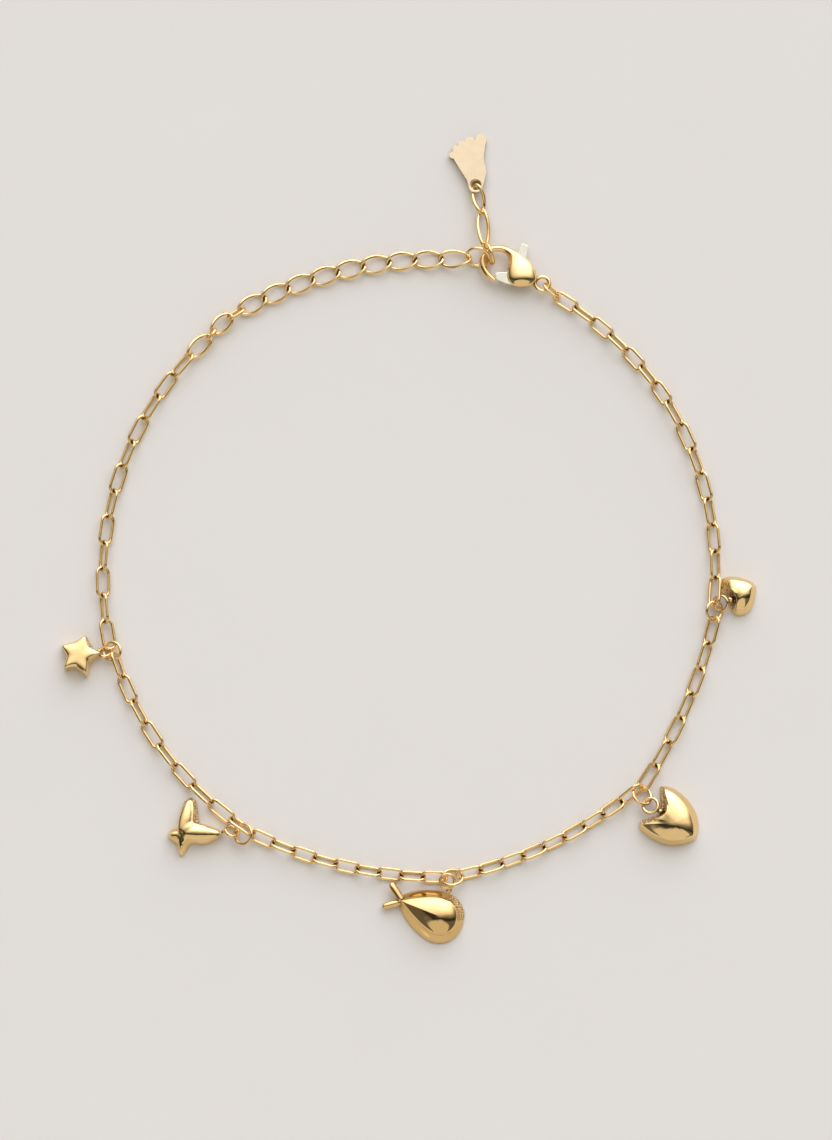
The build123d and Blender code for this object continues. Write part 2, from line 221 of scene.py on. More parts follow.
# %% [markdown]
# ## From bmesh to mesh
# Every piece is built as a bmesh, a mesh that its operators can change. A part with operators of its own
# is built apart and then joined on, so that nothing done to it touches the rest.

# %% Meshes and their parts
def mesh_of(bm, name):
    """A plain mesh from a bmesh, its normals outwards."""
    bmesh.ops.recalc_face_normals(bm, faces=bm.faces)
    mesh = bpy.data.meshes.new(name)
    bm.to_mesh(mesh)
    bm.free()
    return mesh


def join(bm, part):
    """Add a part that was made in a bmesh of its own."""
    bm.from_mesh(mesh_of(part, "part"))

# %% [markdown]
# ## From mesh to piece
# A piece that stands for a CAD node takes over its name and body, and its object stays at the
# origin. Rounding by a subdivision modifier comes last, so that the cage stays small.

# %% Finish a piece
def finish_piece(bm, node, body="anklet", finish=polished_gold, smooth=2):
    """Make a piece from the bmesh, ride it on a body and let it stand for a CAD node."""
    bmesh.ops.remove_doubles(bm, verts=bm.verts, dist=1e-5)
    mesh = mesh_of(bm, node + "_form")
    mesh.transform(Matrix.Scale(MM, 4))
    mesh.shade_smooth()
    mesh.materials.append(finish)
    piece = bpy.data.objects.new(node + "_form", mesh)
    bpy.context.scene.collection.objects.link(piece)
    if smooth:
        rounding = piece.modifiers.new("smooth", "SUBSURF")
        rounding.levels = rounding.render_levels = smooth
    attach(piece, body)
    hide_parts(node)
    print(f"{piece.name}: {len(mesh.polygons)} faces before smoothing")
    return piece

# %% [markdown]
# ## Rings
# A ring is a circle of wire spun about an axis. A ready-made torus would have to be turned and joined in,
# while a spin stays in the same bmesh. It closes on itself, so its last and first circles are merged.

# %% Spun ring
def spun_ring(bm, centre, radius, wire, lean, toward):
    """A round ring that lies flat and then leans by lean degrees about the horizontal line at toward."""
    wall = bmesh.ops.create_circle(bm, segments=20, radius=wire / 2)["verts"]
    bmesh.ops.rotate(bm, verts=wall, matrix=Matrix.Rotation(math.radians(90), 3, "X"))
    bmesh.ops.translate(bm, verts=wall, vec=(radius, 0, 0))
    rim = list({edge for vert in wall for edge in vert.link_edges})
    before = set(bm.verts)
    bmesh.ops.spin(bm, geom=wall + rim, cent=(0, 0, 0), axis=(0, 0, 1), angle=math.tau, steps=64,
                   use_merge=True)
    ring = wall + [vert for vert in bm.verts if vert not in before]
    turn = (Matrix.Translation(centre) @ Matrix.Rotation(math.radians(toward), 4, "Z")
            @ Matrix.Rotation(math.radians(lean), 4, "X"))
    bmesh.ops.transform(bm, verts=ring, matrix=turn)

# %% [markdown]
# ## Twisted ovals
# The extender and the tail are ovals of wire whose ends are twisted opposite ways, so that each lies
# nearly flat and still holds the next. A round ring is drawn out into an ellipse by moving its wire along
# the ellipse's own outward direction, which keeps the wire round, and is then twisted about its length.

# %% Ovals
FULLNESS = 0.82     # 1 is a true ellipse, less has a fuller belly


def oval(bm, start, end, roll, width, wire, twist):
    """A twisted oval; start and end are the middle of its wire, roll and twist are in degrees."""
    start, end = Vector(start), Vector(end)
    reach, belly = (end - start).length / 2, (width - wire) / 2
    part = bmesh.new()
    spun_ring(part, centre=(0, 0, 0), radius=1.0, wire=wire, lean=0, toward=0)
    for vert in part.verts:
        turn, out = math.atan2(vert.co.y, vert.co.x), math.hypot(vert.co.x, vert.co.y) - 1
        away = Vector((belly * math.cos(turn), reach * math.sin(turn), 0)).normalized() * out
        fuller = math.copysign(abs(math.sin(turn)) ** FULLNESS, math.sin(turn))
        spot = Vector((reach * math.cos(turn), belly * fuller, vert.co.z)) + away
        vert.co = Matrix.Rotation(math.radians(twist) * spot.x / reach, 3, "X") @ spot
    lay = (Matrix.Translation((start + end) / 2) @ (end - start).to_track_quat("X", "Z").to_matrix().to_4x4()
           @ Matrix.Rotation(math.radians(roll), 4, "X"))
    bmesh.ops.transform(part, verts=part.verts, matrix=lay)
    join(bm, part)

# %% [markdown]
# ## The extender
# Nine ovals of one size lie on an arc, each reaching a little past its joints to hold its neighbours. The
# joints could be typed in, but an arc through the two ends keeps the ovals even. The last one climbs to
# the ring on the clasp's hook.

# %% Joints on an arc
def joints_on_arc(start, end, bow, count):
    """Points that divide an arc evenly; bow is how far the arc rises over its chord."""
    start, end = Vector(start), Vector(end)
    half = (end - start) / 2
    radius = (half.length ** 2 + bow ** 2) / (2 * bow)
    hub = start + half - half.orthogonal().normalized() * (radius - bow)
    spread = 2 * math.asin(half.length / radius)
    return [hub + Matrix.Rotation(-spread * step / count, 2) @ (start - hub) for step in range(count + 1)]

extender_joints = joints_on_arc(start=(-22.45, 34.5), end=(7.95, 41.3), bow=2.25, count=9)
print("extender joints, mm:", [tuple(round(v, 2) for v in joint) for joint in extender_joints])

# %% [markdown]
# ## Laying the ovals
# Each oval runs between two joints, which are the middles of the wires that it holds, so it starts and
# ends a little beyond them. All nine have one twist, so each lies over its neighbour in the same way.

# %% Extender
OVAL_WIRE, OVAL_REST, OVAL_REACH, OVAL_TWIST = 0.48, 0.66, 0.21, -32
HOOKED_END, HOOKED_ROLL = (8.37, 41.43, 1.12), -10.8
bm = bmesh.new()
for near, far in zip(extender_joints, extender_joints[1:]):
    on = (far - near).normalized() * OVAL_REACH
    last = far is extender_joints[-1]
    oval(bm, (*(near - on), OVAL_REST), HOOKED_END if last else (*(far + on), OVAL_REST),
         roll=HOOKED_ROLL if last else 0.0, width=2.70, wire=OVAL_WIRE, twist=OVAL_TWIST)
finish_piece(bm, "extender_ovals", smooth=0)

# %% [markdown]
# ## Loose ovals and tail links
# Two ovals join the extender to the chain. The two of the tail are of thicker wire and twisted most,
# because they hang from a ring that stands up and hold a tag that lies flat.

# %% Loose ovals
TAIL_WIRE = 0.54
LOOSE_OVALS = [
    # node, start, end, roll, width, wire, twist
    ("first_oval", (-29.35, 28.26, 0.91), (-26.57, 31.0, 0.90), 3.7, 2.50, OVAL_WIRE, OVAL_TWIST),
    ("second_oval", (-26.21, 31.49, 0.88), (-23.76, 33.79, 0.95), 9.0, 2.50, OVAL_WIRE, OVAL_TWIST),
    ("tail_link_upper", (9.905, 47.6, 1.03), (9.08, 51.43, 0.90), 10.0, 2.00, TAIL_WIRE, -52),
    ("tail_link_lower", (10.28, 43.05, 1.87), (9.89, 48.08, 0.90), 6.0, 1.95, TAIL_WIRE, -44),
]
for node, *shape in LOOSE_OVALS:
    bm = bmesh.new()
    oval(bm, *shape)
    finish_piece(bm, node, smooth=0)

# %% [markdown]
# ## Puffed forms
# A charm is stamped from sheet: a sloping wall rises from the table to a crease, and a dome closes it.
# It could be sculpted, but a mirror finish shows every hand-made bump. Here each outline is a few corners
# that a vertex bevel rounds, the outlines are bridged into walls, and a subdivision surface smooths them.
# All the outlines of one charm have the same corners in the same order, which keeps the bridges straight.

# %% Outlines and walls
def outline_loop(bm, corners, height):
    """A closed loop of edges: corners are x, y and how far from the corner its rounding begins."""
    edges, faces = set(bm.edges), set(bm.faces)
    points = [bm.verts.new((x, y, height)) for x, y, turn in corners]
    bm.faces.new(points)
    for point, (x, y, turn) in zip(points, corners):
        bmesh.ops.bevel(bm, geom=[point], offset=turn, offset_type="OFFSET", affect="VERTICES",
                        segments=3, profile=0.5, material=-1)
    loop = [edge for edge in bm.edges if edge not in edges]
    face = [item for item in bm.faces if item not in faces]
    bmesh.ops.delete(bm, geom=face, context="FACES_ONLY")
    return loop


def stack(bm, sections, creased, pointed=True):
    """A closed form through outlines at rising heights; creased lists the sections that stay sharp."""
    sharp = bm.edges.layers.float.get("crease_edge") or bm.edges.layers.float.new("crease_edge")
    below = None
    for number, (corners, height) in enumerate(sections):
        loop = outline_loop(bm, corners, height)
        if below is None:
            bottom = bmesh.ops.contextual_create(bm, geom=loop)["faces"]
            bmesh.ops.poke(bm, faces=bottom)
        else:
            bmesh.ops.bridge_loops(bm, edges=below + loop)
        for edge in loop:
            edge[sharp] = creased.get(number, 0.0)
        below = loop
    top = bmesh.ops.contextual_create(bm, geom=below)["faces"]
    return bmesh.ops.poke(bm, faces=top)["verts"][0] if pointed else top

# %% [markdown]
# ## Outlines in between
# A charm has two measured outlines: the foot of its wall and the crease. The others are worked out from
# these, either part of the way between them or shrunk towards the middle of the dome.

# %% Share and shrink
def between(outer, inner, share):
    """The outline that lies a share of the way from outer to inner."""
    return [(a + (d - a) * share, b + (e - b) * share, c + (f - c) * share)
            for (a, b, c), (d, e, f) in zip(outer, inner)]


def shrunk(corners, middle, size, even):
    """An outline shrunk towards the middle; even is how far its corners are evened out to a circle."""
    reach = [math.hypot(x - middle[0], y - middle[1]) for x, y, turn in corners]
    usual = sum(reach) / len(reach)
    made = []
    for (x, y, turn), far in zip(corners, reach):
        grow = size * (1 - even + even * usual / far)
        made.append((middle[0] + (x - middle[0]) * grow, middle[1] + (y - middle[1]) * grow, turn * size))
    return made

# %% [markdown]
# ## The dome
# The dome's outlines rise as a quarter of a circle does, close together at the shoulder and far apart at
# the top, because that is where the reflections bend slowly. They also even out, so that a pointed
# outline still has a round top.

# %% Puff
DOME_TURNS = (10, 24, 38, 52, 65, 76, 84)      # degrees of the quarter circle


def puff(bm, outer, inner, middle, shoulder, top, even=0.0):
    """A puffed charm: a wall from the outer outline up to the inner one, then a dome to the middle."""
    sections = [(between(outer, inner, 0.35), 0.03), (between(outer, inner, 0.02), 0.16),
                (between(outer, inner, 0.10), 0.45), (between(outer, inner, 0.55), shoulder * 0.65),
                (inner, shoulder)]
    for turn in DOME_TURNS:
        angle = math.radians(turn)
        corners = shrunk(inner, middle, math.cos(angle), even * math.sin(angle) ** 2)
        sections.append((corners, shoulder + (top - shoulder) * math.sin(angle)))
    crown = stack(bm, sections, creased={4: 0.55})
    crown.co = (middle[0], middle[1], top)

# %% [markdown]
# ## Polishing
# A heart's dome ends in a steep face at its notch, so its height is raised there. Then the heights are
# evened out, as a polishing wheel does, which takes away the small steps that show in the reflections.

# %% Lift and ease
def lift(bm, point, reach, low, top):
    """Raise the dome near a point towards the top's height, where a form ends in a steep face."""
    for vert in bm.verts:
        far = math.hypot(vert.co.x - point[0], vert.co.y - point[1]) / reach
        if far < 1 and vert.co.z > low:
            vert.co.z += (top - vert.co.z) * (1 - far * far) ** 2


def ease(bm, low, passes):
    """Even out the heights above a level, as a polishing wheel does."""
    for _ in range(passes):
        bmesh.ops.smooth_vert(bm, verts=[vert for vert in bm.verts if vert.co.z > low], factor=0.5,
                              use_axis_x=False, use_axis_y=False, use_axis_z=True)

# %% [markdown]
# ## Places and solder
# Each charm is modelled flat about its own origin, turned and put in its place, and its own small ring is
# then set beside it at its lean. A blob of solder holds that ring to the wall.

# %% Place and solder
RING_WIRE = 0.42


def place(bm, where, turn):
    """Turn everything in the bmesh about Z by so many degrees and move it to its place."""
    bmesh.ops.transform(bm, verts=bm.verts, matrix=Matrix.Translation((*where, 0))
                        @ Matrix.Rotation(math.radians(turn), 4, "Z"))


def bead(bm, centre, radius, stretch):
    """A blob of solder, stretched along one direction."""
    ball = bmesh.ops.create_icosphere(bm, subdivisions=3, radius=radius)["verts"]
    bmesh.ops.scale(bm, verts=ball, vec=stretch)
    bmesh.ops.translate(bm, verts=ball, vec=centre)

# %% [markdown]
# ## The heart
# A heart on its side, with two pointed lobes round a notch. Its dome is full and its wall is widest on
# the notch side, where the jump ring hangs.

# %% Heart outlines
HEART_EDGE = [
    # x, y, rounding
    (1.80, 0.00, 0.55), (0.75, 1.45, 0.50), (-0.35, 2.95, 0.30), (1.10, 3.80, 0.60), (3.30, 3.85, 0.90),
    (5.70, 3.05, 0.80), (7.20, 1.60, 0.60), (7.85, 0.00, 0.40), (7.00, -1.55, 0.60), (5.30, -3.00, 0.80),
    (3.00, -3.55, 0.80), (0.95, -3.45, 0.40), (0.15, -2.65, 0.28), (1.10, -1.25, 0.50),
]
HEART_CREASE = [
    (2.50, 0.35, 0.50), (1.65, 1.60, 0.40), (0.30, 2.95, 0.25), (1.70, 3.30, 0.50), (3.40, 3.15, 0.70),
    (5.20, 2.50, 0.60), (6.60, 1.40, 0.50), (7.45, 0.15, 0.35), (6.65, -1.10, 0.50), (5.10, -2.45, 0.60),
    (3.10, -2.98, 0.60), (1.60, -2.98, 0.40), (0.72, -2.82, 0.15), (1.60, -1.40, 0.45),
]
print("heart:", len(HEART_EDGE), "corners at its foot and at its crease")

# %% [markdown]
# ## Raising the heart
# The dome is raised over the outlines, its heights are lifted beside the notch, and the ring and its
# solder are put on last, at the places that CAD gives.

# %% Heart
bm = bmesh.new()
puff(bm, HEART_EDGE, HEART_CREASE, middle=(4.3, -0.1), shoulder=1.50, top=2.60, even=0.8)
lift(bm, point=(2.2, 0.2), reach=2.6, low=1.45, top=2.52)
ease(bm, low=1.55, passes=6)
place(bm, where=(32.1, -31.9), turn=-36)
spun_ring(bm, centre=(32.29, -32.04, 1.477), radius=1.013, wire=RING_WIRE, lean=-16.2, toward=48)
bead(bm, centre=(33.6, -32.8, 1.4), radius=0.36, stretch=(1.3, 1.0, 0.9))
heart_gold = gold("heart_gold", *POLISHED, stippled=((33.2, -32.4, 0.9), 3.3))
finish_piece(bm, "heart_charm", finish=heart_gold)

# %% [markdown]
# ## The small heart
# The same form, smaller and turned, with its dome pushed away from the notch.

# %% Small heart outlines
SMALL_EDGE = [
    (0.30, 0.10, 0.40), (-0.35, 1.30, 0.35), (0.10, 2.75, 0.40), (1.20, 2.90, 0.40), (2.30, 2.45, 0.40),
    (3.30, 1.65, 0.40), (4.10, 0.75, 0.35), (4.42, -0.20, 0.35), (3.70, -1.30, 0.45), (2.70, -2.45, 0.45),
    (1.50, -2.95, 0.40), (0.30, -2.65, 0.40), (-0.40, -1.50, 0.40), (0.15, -0.60, 0.30),
]
SMALL_CREASE = [
    (1.30, 0.20, 0.30), (0.85, 1.10, 0.30), (0.75, 1.90, 0.30), (1.45, 2.35, 0.30), (2.15, 2.05, 0.30),
    (3.00, 1.40, 0.35), (3.75, 0.60, 0.30), (3.98, -0.10, 0.25), (3.35, -0.95, 0.35), (2.55, -1.85, 0.35),
    (1.50, -2.35, 0.35), (0.50, -1.95, 0.30), (0.25, -1.35, 0.20), (0.95, -0.80, 0.30),
]
print("small heart:", len(SMALL_EDGE), "corners at its foot and at its crease")

# %% [markdown]
# ## Raising the small heart
# The steps are the heart's. Its ring lies fairly flat and leans on the wall beside the notch.

# %% Small heart
bm = bmesh.new()
puff(bm, SMALL_EDGE, SMALL_CREASE, middle=(1.95, -0.40), shoulder=1.50, top=2.50, even=0.8)
lift(bm, point=(1.1, 0.2), reach=1.7, low=1.45, top=2.35)
ease(bm, low=1.55, passes=6)
place(bm, where=(42.65, -4.5), turn=28)
spun_ring(bm, centre=(41.765, -4.98, 1.157), radius=1.008, wire=RING_WIRE, lean=-24.7, toward=107.5)
bead(bm, centre=(43.1, -4.5, 1.2), radius=0.42, stretch=(1.2, 1.0, 0.9))
small_gold = gold("small_heart_gold", *POLISHED, stippled=((42.6, -4.1, 0.9), 2.6))
finish_piece(bm, "small_heart_charm", finish=small_gold)

# %% [markdown]
# ## Forms along a line
# Flukes, wings and the clasp's hook are round forms along a line. Oval rings of wall stand across the
# line and are bridged in turn. The wider a ring, the flatter its top, which is how a casting is filed.

# %% Rings of wall
def line_rings(bm, line, segments, blunt=0.0):
    """A closed form through oval rings along a bent middle line; blunt keeps its first end sharp."""
    sharp = bm.edges.layers.float.get("crease_edge") or bm.edges.layers.float.new("crease_edge")
    below = None
    for x, y, direction, wide, high in line:
        wall = bmesh.ops.create_circle(bm, segments=segments, radius=1.0)["verts"]
        flat = 1 - 0.14 * min(wide, 2.0)
        for vert in wall:
            vert.co.y = math.copysign(abs(vert.co.y) ** flat, vert.co.y)
        bmesh.ops.scale(bm, verts=wall, vec=(wide, high, 1))
        stand = Matrix.Rotation(math.radians(direction), 4, "Z") @ Matrix(
            ((0, 0, 1, 0), (1, 0, 0, 0), (0, 1, 0, 0), (0, 0, 0, 1)))
        bmesh.ops.transform(bm, verts=wall, matrix=Matrix.Translation((x, y, 0)) @ stand)
        rim = list({edge for vert in wall for edge in vert.link_edges})
        if below is None:
            bmesh.ops.contextual_create(bm, geom=rim)
            for edge in rim:
                edge[sharp] = blunt
        else:
            bmesh.ops.bridge_loops(bm, edges=below + rim)
        below = rim
    bmesh.ops.contextual_create(bm, geom=below)

# %% [markdown]
# ## Petals
# A fluke or a wing is a short round form from its root to its tip. Its profile lists how wide it is along
# the way, so that one helper makes a blunt fluke or a leaf-shaped wing.

# %% Petal
BLUNT = ((0.0, 0.86), (0.15, 0.92), (0.45, 0.98), (0.70, 1.0), (0.86, 0.92), (0.95, 0.66), (0.99, 0.35))


def petal(bm, root, turn, length, wide, high, height, profile, tilt=0.0):
    """A rounded petal from its root: profile gives its width along its length, tilt its roll in degrees."""
    way = Matrix.Rotation(math.radians(turn), 2) @ Vector((length, 0))
    line = [(root[0] + way.x * share, root[1] + way.y * share, turn, wide * size, high * size ** 0.5)
            for share, size in profile]
    part = bmesh.new()
    line_rings(part, line, 12)
    bmesh.ops.rotate(part, verts=part.verts, cent=(*root, 0),
                     matrix=Matrix.Rotation(math.radians(tilt), 3, Vector((*way, 0))))
    bmesh.ops.translate(part, verts=part.verts, vec=(0, 0, height))
    join(bm, part)

# %% [markdown]
# ## The whale
# A drop with a broad sloping wall all round, and a tail of two flukes at its point. The flukes are two
# rounded petals that cross at the tail. Its gold is a darker, warmer copy of the other charms': painted
# shade that dims its highlight and its wall.

# %% Whale outlines
WHALE_EDGE = [
    (-3.40, 0.10, 0.90), (-2.95, -1.75, 0.80), (-1.35, -3.05, 0.80), (0.60, -3.25, 0.80),
    (2.70, -2.75, 0.80), (4.55, -1.95, 0.70), (5.95, -0.75, 0.50), (6.05, 0.15, 0.30),
    (5.10, 1.35, 0.70), (3.70, 2.45, 0.80), (1.90, 3.45, 0.90), (-0.15, 3.95, 0.90), (-2.00, 3.35, 0.80),
    (-3.15, 1.90, 0.80),
]
WHALE_CREASE = [
    (-2.58, 0.15, 0.60), (-2.15, -1.35, 0.60), (-0.95, -2.30, 0.60), (0.70, -2.45, 0.60),
    (2.40, -1.90, 0.60), (4.00, -1.15, 0.50), (5.30, -0.40, 0.30), (5.70, -0.02, 0.12),
    (4.70, 0.65, 0.40), (3.50, 1.40, 0.60), (1.80, 2.30, 0.60), (-0.05, 2.85, 0.60), (-1.50, 2.42, 0.60),
    (-2.40, 1.35, 0.60),
]
FLUKES = [
    # turn, length, half width, height of its middle, tilt
    (-38, 2.95, 0.56, 1.20, 20),
    (34, 2.85, 0.50, 0.80, 0),
]
print("whale:", len(WHALE_EDGE), "corners and", len(FLUKES), "flukes")

# %% [markdown]
# ## Raising the whale
# Its dome keeps more of the drop's shape than a heart's does, so it is evened out less. The upper fluke
# is tilted towards the lamp.

# %% Whale
bm = bmesh.new()
puff(bm, WHALE_EDGE, WHALE_CREASE, middle=(-0.1, 0.25), shoulder=1.45, top=2.60, even=0.25)
ease(bm, low=1.50, passes=4)
for turn, length, wide, height, tilt in FLUKES:
    petal(bm, root=(5.35, -0.1), turn=turn, length=length, wide=wide, high=0.40, height=height,
          profile=BLUNT, tilt=tilt)
place(bm, where=(4.3, -46.6), turn=161)
spun_ring(bm, centre=(5.21, -42.13, 1.84), radius=0.955, wire=RING_WIRE, lean=12.7, toward=16.6)
bead(bm, centre=(5.45, -43.35, 1.35), radius=0.34, stretch=(1.3, 1.0, 0.9))
# painted shade: a darker, warmer copy of the polished gold, which dims the whale under the lamp
whale_shaded_gold = gold("whale_shaded_gold", (0.81, 0.545, 0.225, 1.0), (0.79, 0.52, 0.205, 1.0), *POLISHED[2:],
                  stippled=((7.0, -45.4, 1.3), 2.2))
finish_piece(bm, "whale_charm", finish=whale_shaded_gold)

# %% [markdown]
# ## The star
# Five tips round a shallow pillow of a face. The wall flares out below it, so a line of gold shows under
# the face on the near side. The face leans back a little, which lights it from the lamp on the far side.

# %% Star outlines
STAR_EDGE = [
    (2.98, 0.25, 0.40), (1.51, 1.44, 0.40), (0.62, 3.16, 0.45), (-0.94, 2.08, 0.40), (-2.76, 1.72, 0.45),
    (-1.95, 0.10, 0.40), (-2.35, -1.86, 0.45), (-0.79, -1.56, 0.30), (0.95, -2.84, 0.45),
    (1.37, -0.68, 0.40),
]
STAR_CREASE = [
    (2.82, 0.51, 0.35), (1.15, 1.28, 0.35), (0.59, 2.98, 0.40), (-0.87, 1.85, 0.35), (-2.68, 1.56, 0.40),
    (-1.75, 0.14, 0.35), (-2.35, -1.60, 0.40), (-0.68, -1.26, 0.35), (0.80, -2.42, 0.40),
    (1.00, -0.44, 0.35),
]
STAR_FACE = [
    # share of the crease, height, how far it is evened out
    (1.00, 1.84, 0.0), (0.96, 1.99, 0.0), (0.88, 2.07, 0.0), (0.76, 2.11, 0.05), (0.60, 2.13, 0.2),
    (0.40, 2.145, 0.6), (0.18, 2.15, 1.0),
]
print("star:", len(STAR_EDGE), "corners and", len(STAR_FACE), "steps in its face")

# %% [markdown]
# ## Raising the star
# Here the face is a stack of its own, because it is nearly flat and then turns down at its crease. It is
# a round top that the tips run out of, so the outlines shrink towards a circle.

# %% Star
STAR_MIDDLE, STAR_TOP = (-0.15, 0.15), 2.15
bm = bmesh.new()
walls = [(between(STAR_EDGE, STAR_CREASE, share), height) for share, height in
         ((0.30, 0.03), (0.02, 0.15), (0.08, 0.50), (0.50, 1.15))]
face = [(shrunk(STAR_CREASE, STAR_MIDDLE, size, even), height) for size, height, even in STAR_FACE]
crown = stack(bm, walls + face, creased={4: 0.4})
crown.co = (*STAR_MIDDLE, STAR_TOP)
ease(bm, low=1.85, passes=2)
bmesh.ops.rotate(bm, verts=[vert for vert in bm.verts if vert.co.z > 1.7], cent=(0, 0, 1.9),
                 matrix=Matrix.Rotation(math.radians(-4.5), 3, "X"))
place(bm, where=(-43.68, -12.2), turn=0)
spun_ring(bm, centre=(-40.57, -11.545, 0.775), radius=0.79, wire=RING_WIRE, lean=-43.6, toward=-0.6)
star_gold = gold("star_gold", *POLISHED, stippled=((-42.2, -10.3, 0.9), 1.6))
finish_piece(bm, "star_charm", finish=star_gold)

# %% [markdown]
# ## The butterfly
# Two long wings and two short ones, with one puffed face over a wall that flares out all round. Its face
# can't be a dome, because a dome's outlines cross each other in narrow wings. So the wall ends flat, and
# the face rises from it in three insets.

# %% Butterfly outlines
BUTTERFLY_EDGE = [
    (1.47, 4.33, 0.30), (1.69, 2.99, 0.30), (1.74, 1.85, 0.25), (1.95, 1.28, 0.25), (3.10, 1.00, 0.30),
    (4.40, 0.46, 0.30), (5.05, -0.18, 0.25), (4.20, -0.98, 0.30), (3.10, -1.52, 0.30), (2.10, -1.68, 0.30),
    (1.10, -1.50, 0.25), (0.50, -1.80, 0.25), (0.15, -2.55, 0.30), (-0.45, -3.30, 0.30),
    (-0.99, -2.81, 0.25), (-1.20, -1.60, 0.25), (-1.81, -1.17, 0.25), (-2.52, -0.35, 0.30),
    (-1.95, 0.50, 0.30), (-1.05, 0.62, 0.25), (-0.92, 1.50, 0.25), (-0.75, 2.70, 0.30),
    (-0.17, 4.26, 0.30), (0.60, 4.80, 0.30),
]
BUTTERFLY_CREASE = [
    (1.05, 4.15, 0.25), (1.20, 3.18, 0.25), (1.20, 2.14, 0.25), (1.15, 1.25, 0.20), (2.60, 0.92, 0.25),
    (4.15, 0.38, 0.25), (5.00, -0.17, 0.15), (4.15, -0.45, 0.20), (3.10, -0.60, 0.25), (1.91, -0.64, 0.25),
    (0.80, -0.74, 0.20), (0.20, -1.06, 0.20), (-0.22, -1.66, 0.20), (-0.65, -2.45, 0.12),
    (-0.83, -1.88, 0.15), (-0.92, -0.95, 0.20), (-1.70, -0.70, 0.20), (-2.28, -0.30, 0.20),
    (-1.70, 0.10, 0.20), (-0.85, 0.18, 0.20), (-0.58, 1.40, 0.20), (-0.42, 2.60, 0.25),
    (0.08, 3.95, 0.25), (0.62, 4.42, 0.20),
]
print("butterfly:", len(BUTTERFLY_EDGE), "corners at its foot and at its crease")

# %% [markdown]
# ## Raising the butterfly
# An inset in a narrow tip would push its corners past each other if it kept an even width, so it doesn't.

# %% Butterfly wall and face
PILLOW = [(0.05, 0.12), (0.08, 0.06), (0.12, 0.03)]      # inset and rise above the crease
bm = bmesh.new()
walls = [(between(BUTTERFLY_EDGE, BUTTERFLY_CREASE, share), height) for share, height in
         ((0.30, 0.02), (0.0, 0.14), (0.06, 0.45), (0.50, 1.10), (1.0, 1.70))]
face = stack(bm, walls, creased={4: 0.6}, pointed=False)
for inset, rise in PILLOW:
    bmesh.ops.inset_region(bm, faces=face, thickness=inset, depth=0, use_even_offset=False)
    bmesh.ops.translate(bm, verts=face[0].verts, vec=(0, 0, rise))
bmesh.ops.triangulate(bm, faces=face)
print("butterfly cage:", len(bm.faces), "faces")

# %% [markdown]
# ## The butterfly's wings
# Each long wing swells along its own middle line. Two low leaves lie in the face for them, and a shorter
# one fills the corner where they meet. The whole face leans back a little, as the star's does.

# %% Wings
LEAF = ((0.0, 0.70), (0.12, 0.85), (0.30, 0.97), (0.45, 1.0), (0.66, 0.84), (0.85, 0.52), (0.96, 0.22))
WINGS = [
    # turn, length, half width, half height
    (-2, 5.35, 0.98, 0.33),
    (78, 4.55, 0.86, 0.30),
    (40, 1.90, 0.80, 0.31),
]
for turn, length, wide, high in WINGS:
    petal(bm, root=(-0.45, -0.05), turn=turn, length=length, wide=wide, high=high, height=1.86, profile=LEAF)
bmesh.ops.rotate(bm, verts=[vert for vert in bm.verts if vert.co.z > 1.6], cent=(0, 0, 1.8),
                 matrix=Matrix.Rotation(math.radians(-3), 3, "X"))
print("butterfly with its wings:", len(bm.faces), "faces")

# %% [markdown]
# ## Melting forms together
# Joining the leaves to the face by hand would need new edges where they meet. A voxel remesh melts all
# of it into one closed skin instead, and smoothing takes away the voxels' steps.

# %% Melt
def melted(bm, name, grain, passes):
    """Overlapping forms melted into one skin of small even faces and smoothed."""
    source = bpy.data.objects.new(name, mesh_of(bm, name))
    bpy.context.scene.collection.objects.link(source)
    rounding = source.modifiers.new("smooth", "SUBSURF")
    rounding.levels = rounding.render_levels = 2
    skin = source.modifiers.new("skin", "REMESH")
    skin.mode, skin.voxel_size = "VOXEL", grain
    even = source.modifiers.new("even", "SMOOTH")
    even.factor, even.iterations = 0.5, passes
    shape = bpy.data.meshes.new_from_object(source.evaluated_get(bpy.context.evaluated_depsgraph_get()))
    bpy.data.objects.remove(source)
    made = bmesh.new()
    made.from_mesh(shape)
    return made


bm = melted(bm, "wings", grain=0.05, passes=8)
print("melted skin:", len(bm.faces), "faces")

# %% [markdown]
# ## Finishing the butterfly
# The face falls away from its highest point like a shallow lens, and its heights are evened out until
# one wing flows into the other.

# %% Butterfly
LENS_MIDDLE, LENS_FALL = Vector((1.3, 0.9)), 0.022      # fall in millimetres at 1 mm from the middle
for vert in bm.verts:
    share = min(1, max(0, (vert.co.z - 0.9) / 0.8))
    vert.co.z -= LENS_FALL * share * (vert.co.xy - LENS_MIDDLE).length_squared
ease(bm, low=1.62, passes=45)
place(bm, where=(-29.65, -35.6), turn=0)
spun_ring(bm, centre=(-23.44, -35.445, 1.0), radius=0.925, wire=RING_WIRE, lean=47.7, toward=149.9)
bead(bm, centre=(-24.45, -35.5, 0.95), radius=0.30, stretch=(1.4, 1.0, 0.9))
wing_gold = gold("butterfly_gold", *POLISHED, stippled=((-28.2, -32.6, 0.9), 2.4))
finish_piece(bm, "butterfly_charm", finish=wing_gold, smooth=0)

# %% [markdown]
# ## The clasp
# The body of a lobster clasp is one casting: the hook swells into a pillow and narrows to the eye. It is
# made along a bent middle line, from the hook's cut end to the eye. The pillow leans a little away from
# the near side.

